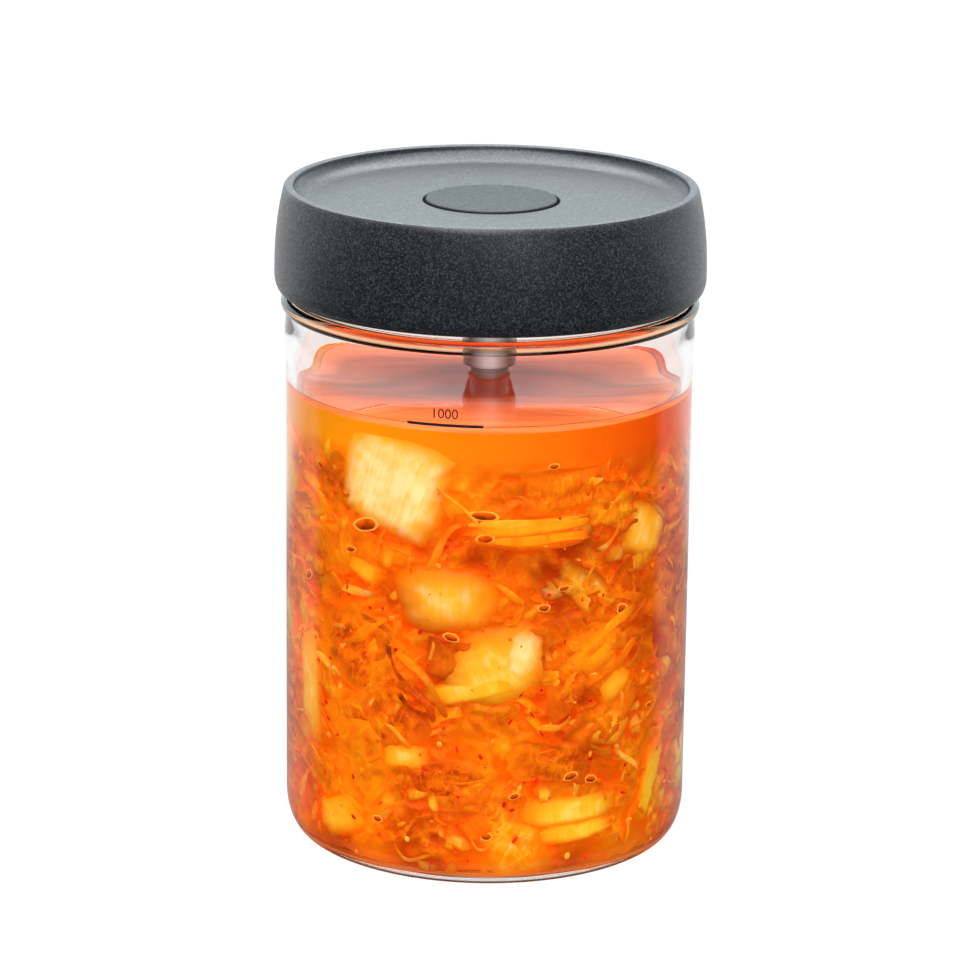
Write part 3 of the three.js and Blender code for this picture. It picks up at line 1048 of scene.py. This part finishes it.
# Chilli flakes, seeds and small bubbles, scattered over the inside of the wall
def wallBand(name, radius, low, high, around=96, up=24):
    points = []
    for j in range(up + 1):
        z = low + (high - low) * j / up
        turn = [2 * math.pi * i / around for i in range(around)]
        points.extend((radius * math.cos(a), radius * math.sin(a), z) for a in turn)
    return meshFrom(name, points, tubeFaces(around, up))


scatterInputs = dict(
    Geometry="NodeSocketGeometry", Density="NodeSocketFloat", Seed="NodeSocketInt",
    Smallest="NodeSocketVector", Largest="NodeSocketVector", Deepest="NodeSocketFloat",
    Finish="NodeSocketMaterial",
)


def scatterGroup():
    group = bpy.data.node_groups.new("scatterOnWall", "GeometryNodeTree")
    for key, kind in scatterInputs.items():
        group.interface.new_socket(key, in_out="INPUT", socket_type=kind)
    group.interface.new_socket("Geometry", in_out="OUTPUT", socket_type="NodeSocketGeometry")

    def add(kind, inputs, **settings):
        return addNode(group, kind, inputs, **settings).outputs

    given = group.nodes.new("NodeGroupInput").outputs
    spots = add(
        "GeometryNodeDistributePointsOnFaces",
        {"Mesh": given["Geometry"], "Density": given["Density"], "Seed": given["Seed"]},
    )
    depth = add("FunctionNodeRandomValue", {"Max": given["Deepest"], "Seed": 3}, data_type="FLOAT")
    inward = add("ShaderNodeMath", {0: depth[1], 1: -1.0}, operation="MULTIPLY")[0]
    offset = add("ShaderNodeVectorMath", {0: spots["Normal"], "Scale": inward}, operation="SCALE")[0]
    sunk = add("GeometryNodeSetPosition", {"Geometry": spots["Points"], "Offset": offset})[0]
    chip = add("GeometryNodeMeshUVSphere", {"Segments": 8, "Rings": 5, "Radius": 1.0})["Mesh"]
    size = add(
        "FunctionNodeRandomValue",
        {0: given["Smallest"], 1: given["Largest"], "Seed": 7},
        data_type="FLOAT_VECTOR",
    )[0]
    placed = add(
        "GeometryNodeInstanceOnPoints",
        {"Points": sunk, "Instance": chip, "Rotation": spots["Rotation"], "Scale": size},
    )[0]
    tumble = {0: (-0.35, -0.35, -3.1), 1: (0.35, 0.35, 3.1), "Seed": 9}
    spin = add("FunctionNodeRandomValue", tumble, data_type="FLOAT_VECTOR")[0]
    spun = add("GeometryNodeRotateInstances", {"Instances": placed, "Rotation": spin})[0]
    tone = add("FunctionNodeRandomValue", {"Seed": 11}, data_type="FLOAT")[1]
    toned = add(
        "GeometryNodeStoreNamedAttribute",
        {"Geometry": spun, "Name": "tone", "Value": tone},
        data_type="FLOAT",
        domain="INSTANCE",
    )[0]
    real = add("GeometryNodeRealizeInstances", {"Geometry": toned})[0]
    soft = add("GeometryNodeSetShadeSmooth", {"Geometry": real})[0]
    done = add("GeometryNodeSetMaterial", {"Geometry": soft, "Material": given["Finish"]})[0]
    group.links.new(done, group.nodes.new("NodeGroupOutput").inputs["Geometry"])
    return group


wallScatter = scatterGroup()


def scatter(name, material, slot, low, high, radius, **inputs):
    band = wallBand(name + "Band", radius, low, high)
    holder = bpy.data.objects.new(name + "Band", band)
    modifier = holder.modifiers.new("scatter", "NODES")
    modifier.node_group = wallScatter
    inputs["Finish"] = material
    for socket in wallScatter.interface.items_tree:
        if socket.in_out == "INPUT" and socket.name in inputs:
            modifier[socket.identifier] = inputs[socket.name]
    mesh = drawnMesh(holder)
    mesh.name = name
    bpy.data.meshes.remove(band)
    print(name, len(mesh.polygons), "faces")
    return addPiece(name, mesh, material)


def speckMaterial(name, stops, roughness, specular):
    shader = Shader(name)
    cloud = shader.spread(shader.noise(700, 3), 0.3, 0.7, -0.15, 0.15)
    glowing(shader, shader.ramp(shader.math("ADD", shader.attribute("tone"), cloud), stops), 0.4)
    shader.set(Roughness=roughness, Specular_IOR_Level=specular)
    return shader.material


chilliRed = speckMaterial(
    "chilliFlake",
    [(0.0, (0.55, 0.008, 0.001)), (0.5, (0.80, 0.025, 0.001)), (1.0, (0.95, 0.07, 0.002))],
    roughness=0.45,
    specular=0.2,
)
seedCream = speckMaterial(
    "chilliSeed",
    [(0.0, (0.90, 0.24, 0.005)), (0.6, (1.0, 0.36, 0.02)), (1.0, (1.0, 0.50, 0.08))],
    roughness=0.4,
    specular=0.25,
)
bubbleLight = speckMaterial(
    "smallBubble",
    [(0.0, (0.80, 0.14, 0.003)), (0.7, (1.0, 0.24, 0.02)), (1.0, (1.0, 0.38, 0.10))],
    roughness=0.08,
    specular=0.7,
)
scatter(
    "chilliFlakes", chilliRed, "food", low=6, high=112, radius=51.0, Density=9500.0, Seed=4,
    Smallest=(0.0003, 0.0002, 0.00012), Largest=(0.0012, 0.0007, 0.0003), Deepest=0.0009,
)
scatter(
    "chilliSeeds", seedCream, "food", low=6, high=108, radius=51.0, Density=2600.0, Seed=15,
    Smallest=(0.0007, 0.0006, 0.0002), Largest=(0.0012, 0.0009, 0.0003), Deepest=0.001,
)
scatter(
    "smallBubbles", bubbleLight, "brine", low=5, high=116, radius=51.15, Density=5200.0,
    Seed=27, Smallest=(0.00018, 0.00018, 0.00012), Largest=(0.00055, 0.00055, 0.0003),
    Deepest=0.0001,
)
print("flakes, seeds and bubbles scattered")


# Print on the glass: the fill line and a plain number over it
markSpec = dict(
    start=-22.5,  # degrees round the jar
    end=-1.4, z=125.1, high=0.75, figure="1000", size=3.6, figureTurn=-12.0, figureZ=126.9,
    lift=0.03,
)


def markMesh(spec):
    r = jar["bodyRadius"] + spec["lift"]
    steps = 40
    points, faces = [], []
    for i in range(steps + 1):
        a = math.radians(spec["start"] + (spec["end"] - spec["start"]) * i / steps - 90)
        for radius, side in ((r, -1), (r, 1), (r - 0.02, 1), (r - 0.02, -1)):
            points.append((radius * math.cos(a), radius * math.sin(a), spec["z"] + side * spec["high"] / 2))
    for i in range(steps):
        a, b = 4 * i, 4 * i + 4
        for j in range(4):
            k = (j + 1) % 4
            faces.append((a + j, b + j, b + k, a + k))
    faces.append((0, 1, 2, 3))
    faces.append((4 * steps + 3, 4 * steps + 2, 4 * steps + 1, 4 * steps))
    letters = bpy.data.curves.new("fillFigure", "FONT")
    letters.body, letters.size, letters.align_x = spec["figure"], spec["size"], "CENTER"
    letters.extrude = 0.01
    drawn = drawnMesh(bpy.data.objects.new("fillFigure", letters))
    start = len(points)
    for vertex in drawn.vertices:
        x, y, z = vertex.co
        a = math.radians(spec["figureTurn"] - 90) + x / r
        points.append(((r + z) * math.cos(a), (r + z) * math.sin(a), spec["figureZ"] + y))
    faces.extend(tuple(i + start for i in face.vertices) for face in drawn.polygons)
    bpy.data.meshes.remove(drawn)
    return meshFrom("fillMark", points, faces)


def inkMaterial():
    shader = Shader("blackPrint")
    worn = shader.noise(900, 3, 0.6)
    blacks = [(0.3, (0.008, 0.008, 0.009)), (0.75, (0.022, 0.022, 0.024))]
    shader.wire(shader.ramp(worn, blacks), "Base Color")
    shader.wire(shader.spread(worn, 0.3, 0.7, 0.4, 0.6), "Roughness")
    return shader.material


addPiece("fillMark", markMesh(markSpec), inkMaterial())
print("fill mark printed")


# Floor, light and surroundings: a white sweep, brighter behind the jar than before it
floorSpec = dict(half=30.0, colour=(0.0, 0.0, 0.0, 1), lift=1.05)
boardSpec = dict(
    half=6.0, drop=0.0005, front=0.004, side=0.38, lean=0.4, start=-0.05, soft=0.03,
    back=1.0, backFrom=0.15, backTo=0.35,
    under=0.052,  # under the jar the board is orange: a painted reflection of the contents in the glass base
    underSoft=0.002, stain=(0.8, 0.27, 0.09),
)
worldSpec = dict(front=0.02, back=1.0, near=-0.6, far=0.7, colour=(0.88, 0.97, 1.0, 1))


def flatSheet(name, half, height, material):
    mesh = bpy.data.meshes.new(name)
    corners = [(-half, -half, height), (half, -half, height), (half, half, height), (-half, half, height)]
    mesh.from_pydata(corners, [], [(0, 1, 2, 3)])
    mesh.materials.append(material)
    sheet = bpy.data.objects.new(name, mesh)
    scene.collection.objects.link(sheet)
    return sheet


def makeFloor(spec):
    shader = Shader("paleFloor")
    shader.set(Base_Color=spec["colour"], Roughness=0.9, Specular_IOR_Level=0.0)
    shader.set(Emission_Color=(1, 1, 1, 1), Emission_Strength=spec["lift"])
    floor = flatSheet("paleFloor", spec["half"], 0, shader.material)
    floor.visible_glossy = False
    floor.visible_transmission = False


def makeBoard(spec):
    # the floor as gloss and glass see it: dark before the jar and white beside and behind it
    shader = Shader("reflectionBoard")
    place = shader.place()
    lean = shader.math("MULTIPLY", shader.math("ABSOLUTE", place["X"]), spec["lean"])
    past = shader.math("SUBTRACT", place["Y"], lean)
    side = shader.spread(past, spec["start"], spec["start"] + spec["soft"], spec["front"], spec["side"])
    behind = shader.spread(place["Y"], spec["backFrom"], spec["backTo"], 0.0, spec["back"])
    glow = shader.math("MAXIMUM", side, behind)
    # painted reflection of the orange contents in the glass base, on the board under the jar
    under = shader.spread(shader.fromAxis(), spec["under"], spec["under"] + spec["underSoft"], 1.0, 0.0)
    shader.wire(shader.mix(under, (1, 1, 1), spec["stain"]), "Emission Color")
    shader.wire(shader.math("MAXIMUM", glow, under), "Emission Strength")
    shader.set(Base_Color=(0, 0, 0, 1), Specular_IOR_Level=0.0)
    board = flatSheet("reflectionBoard", spec["half"], -spec["drop"], shader.material)
    board.visible_camera = False
    board.visible_diffuse = False
    board.visible_shadow = False


def softLight(name, place, target, size, power, colour=(1, 1, 1)):
    data = bpy.data.lights.new(name, "AREA")
    data.shape = "RECTANGLE"
    data.size, data.size_y = size
    data.energy = power
    data.color = colour
    light = bpy.data.objects.new(name, data)
    light.location = place
    light.rotation_euler = (Vector(target) - Vector(place)).to_track_quat("-Z", "Y").to_euler()
    scene.collection.objects.link(light)
    return light


def makeWorld(spec):
    world = bpy.data.worlds.new("whiteStudio")
    world.use_nodes = True
    tree = world.node_tree
    around = addNode(tree, "ShaderNodeTexCoord").outputs["Generated"]
    split = addNode(tree, "ShaderNodeSeparateXYZ", {0: around})
    span = {"From Min": spec["near"], "From Max": spec["far"]}
    span.update({"To Min": spec["front"], "To Max": spec["back"]})
    depth = addNode(tree, "ShaderNodeMapRange", {"Value": split.outputs["Y"], **span})
    background = tree.nodes["Background"].inputs
    tree.links.new(depth.outputs["Result"], background["Strength"])
    background["Color"].default_value = spec["colour"]
    scene.world = world


makeFloor(floorSpec)
makeBoard(boardSpec)
makeWorld(worldSpec)
middle = (0, 0, 0.09)
softLight("keyPanel", (-0.15, -0.85, 0.95), middle, (0.6, 0.6), 4.5)
softLight("fillPanel", (0.3, -1.0, 0.5), middle, (0.5, 0.5), 1.0)
softLight("topPanel", (0.0, 0.16, 1.05), middle, (1.2, 1.7), 36, (0.94, 0.99, 1.0))
backPanel = softLight("backPanel", (0.0, 1.3, 0.45), (0, 0, 0.17), (2.2, 0.7), 2.6, (0.82, 0.96, 1.0))
backPanel.visible_transmission = False
scene.view_settings.view_transform = "Standard"
print("floor and lights set")
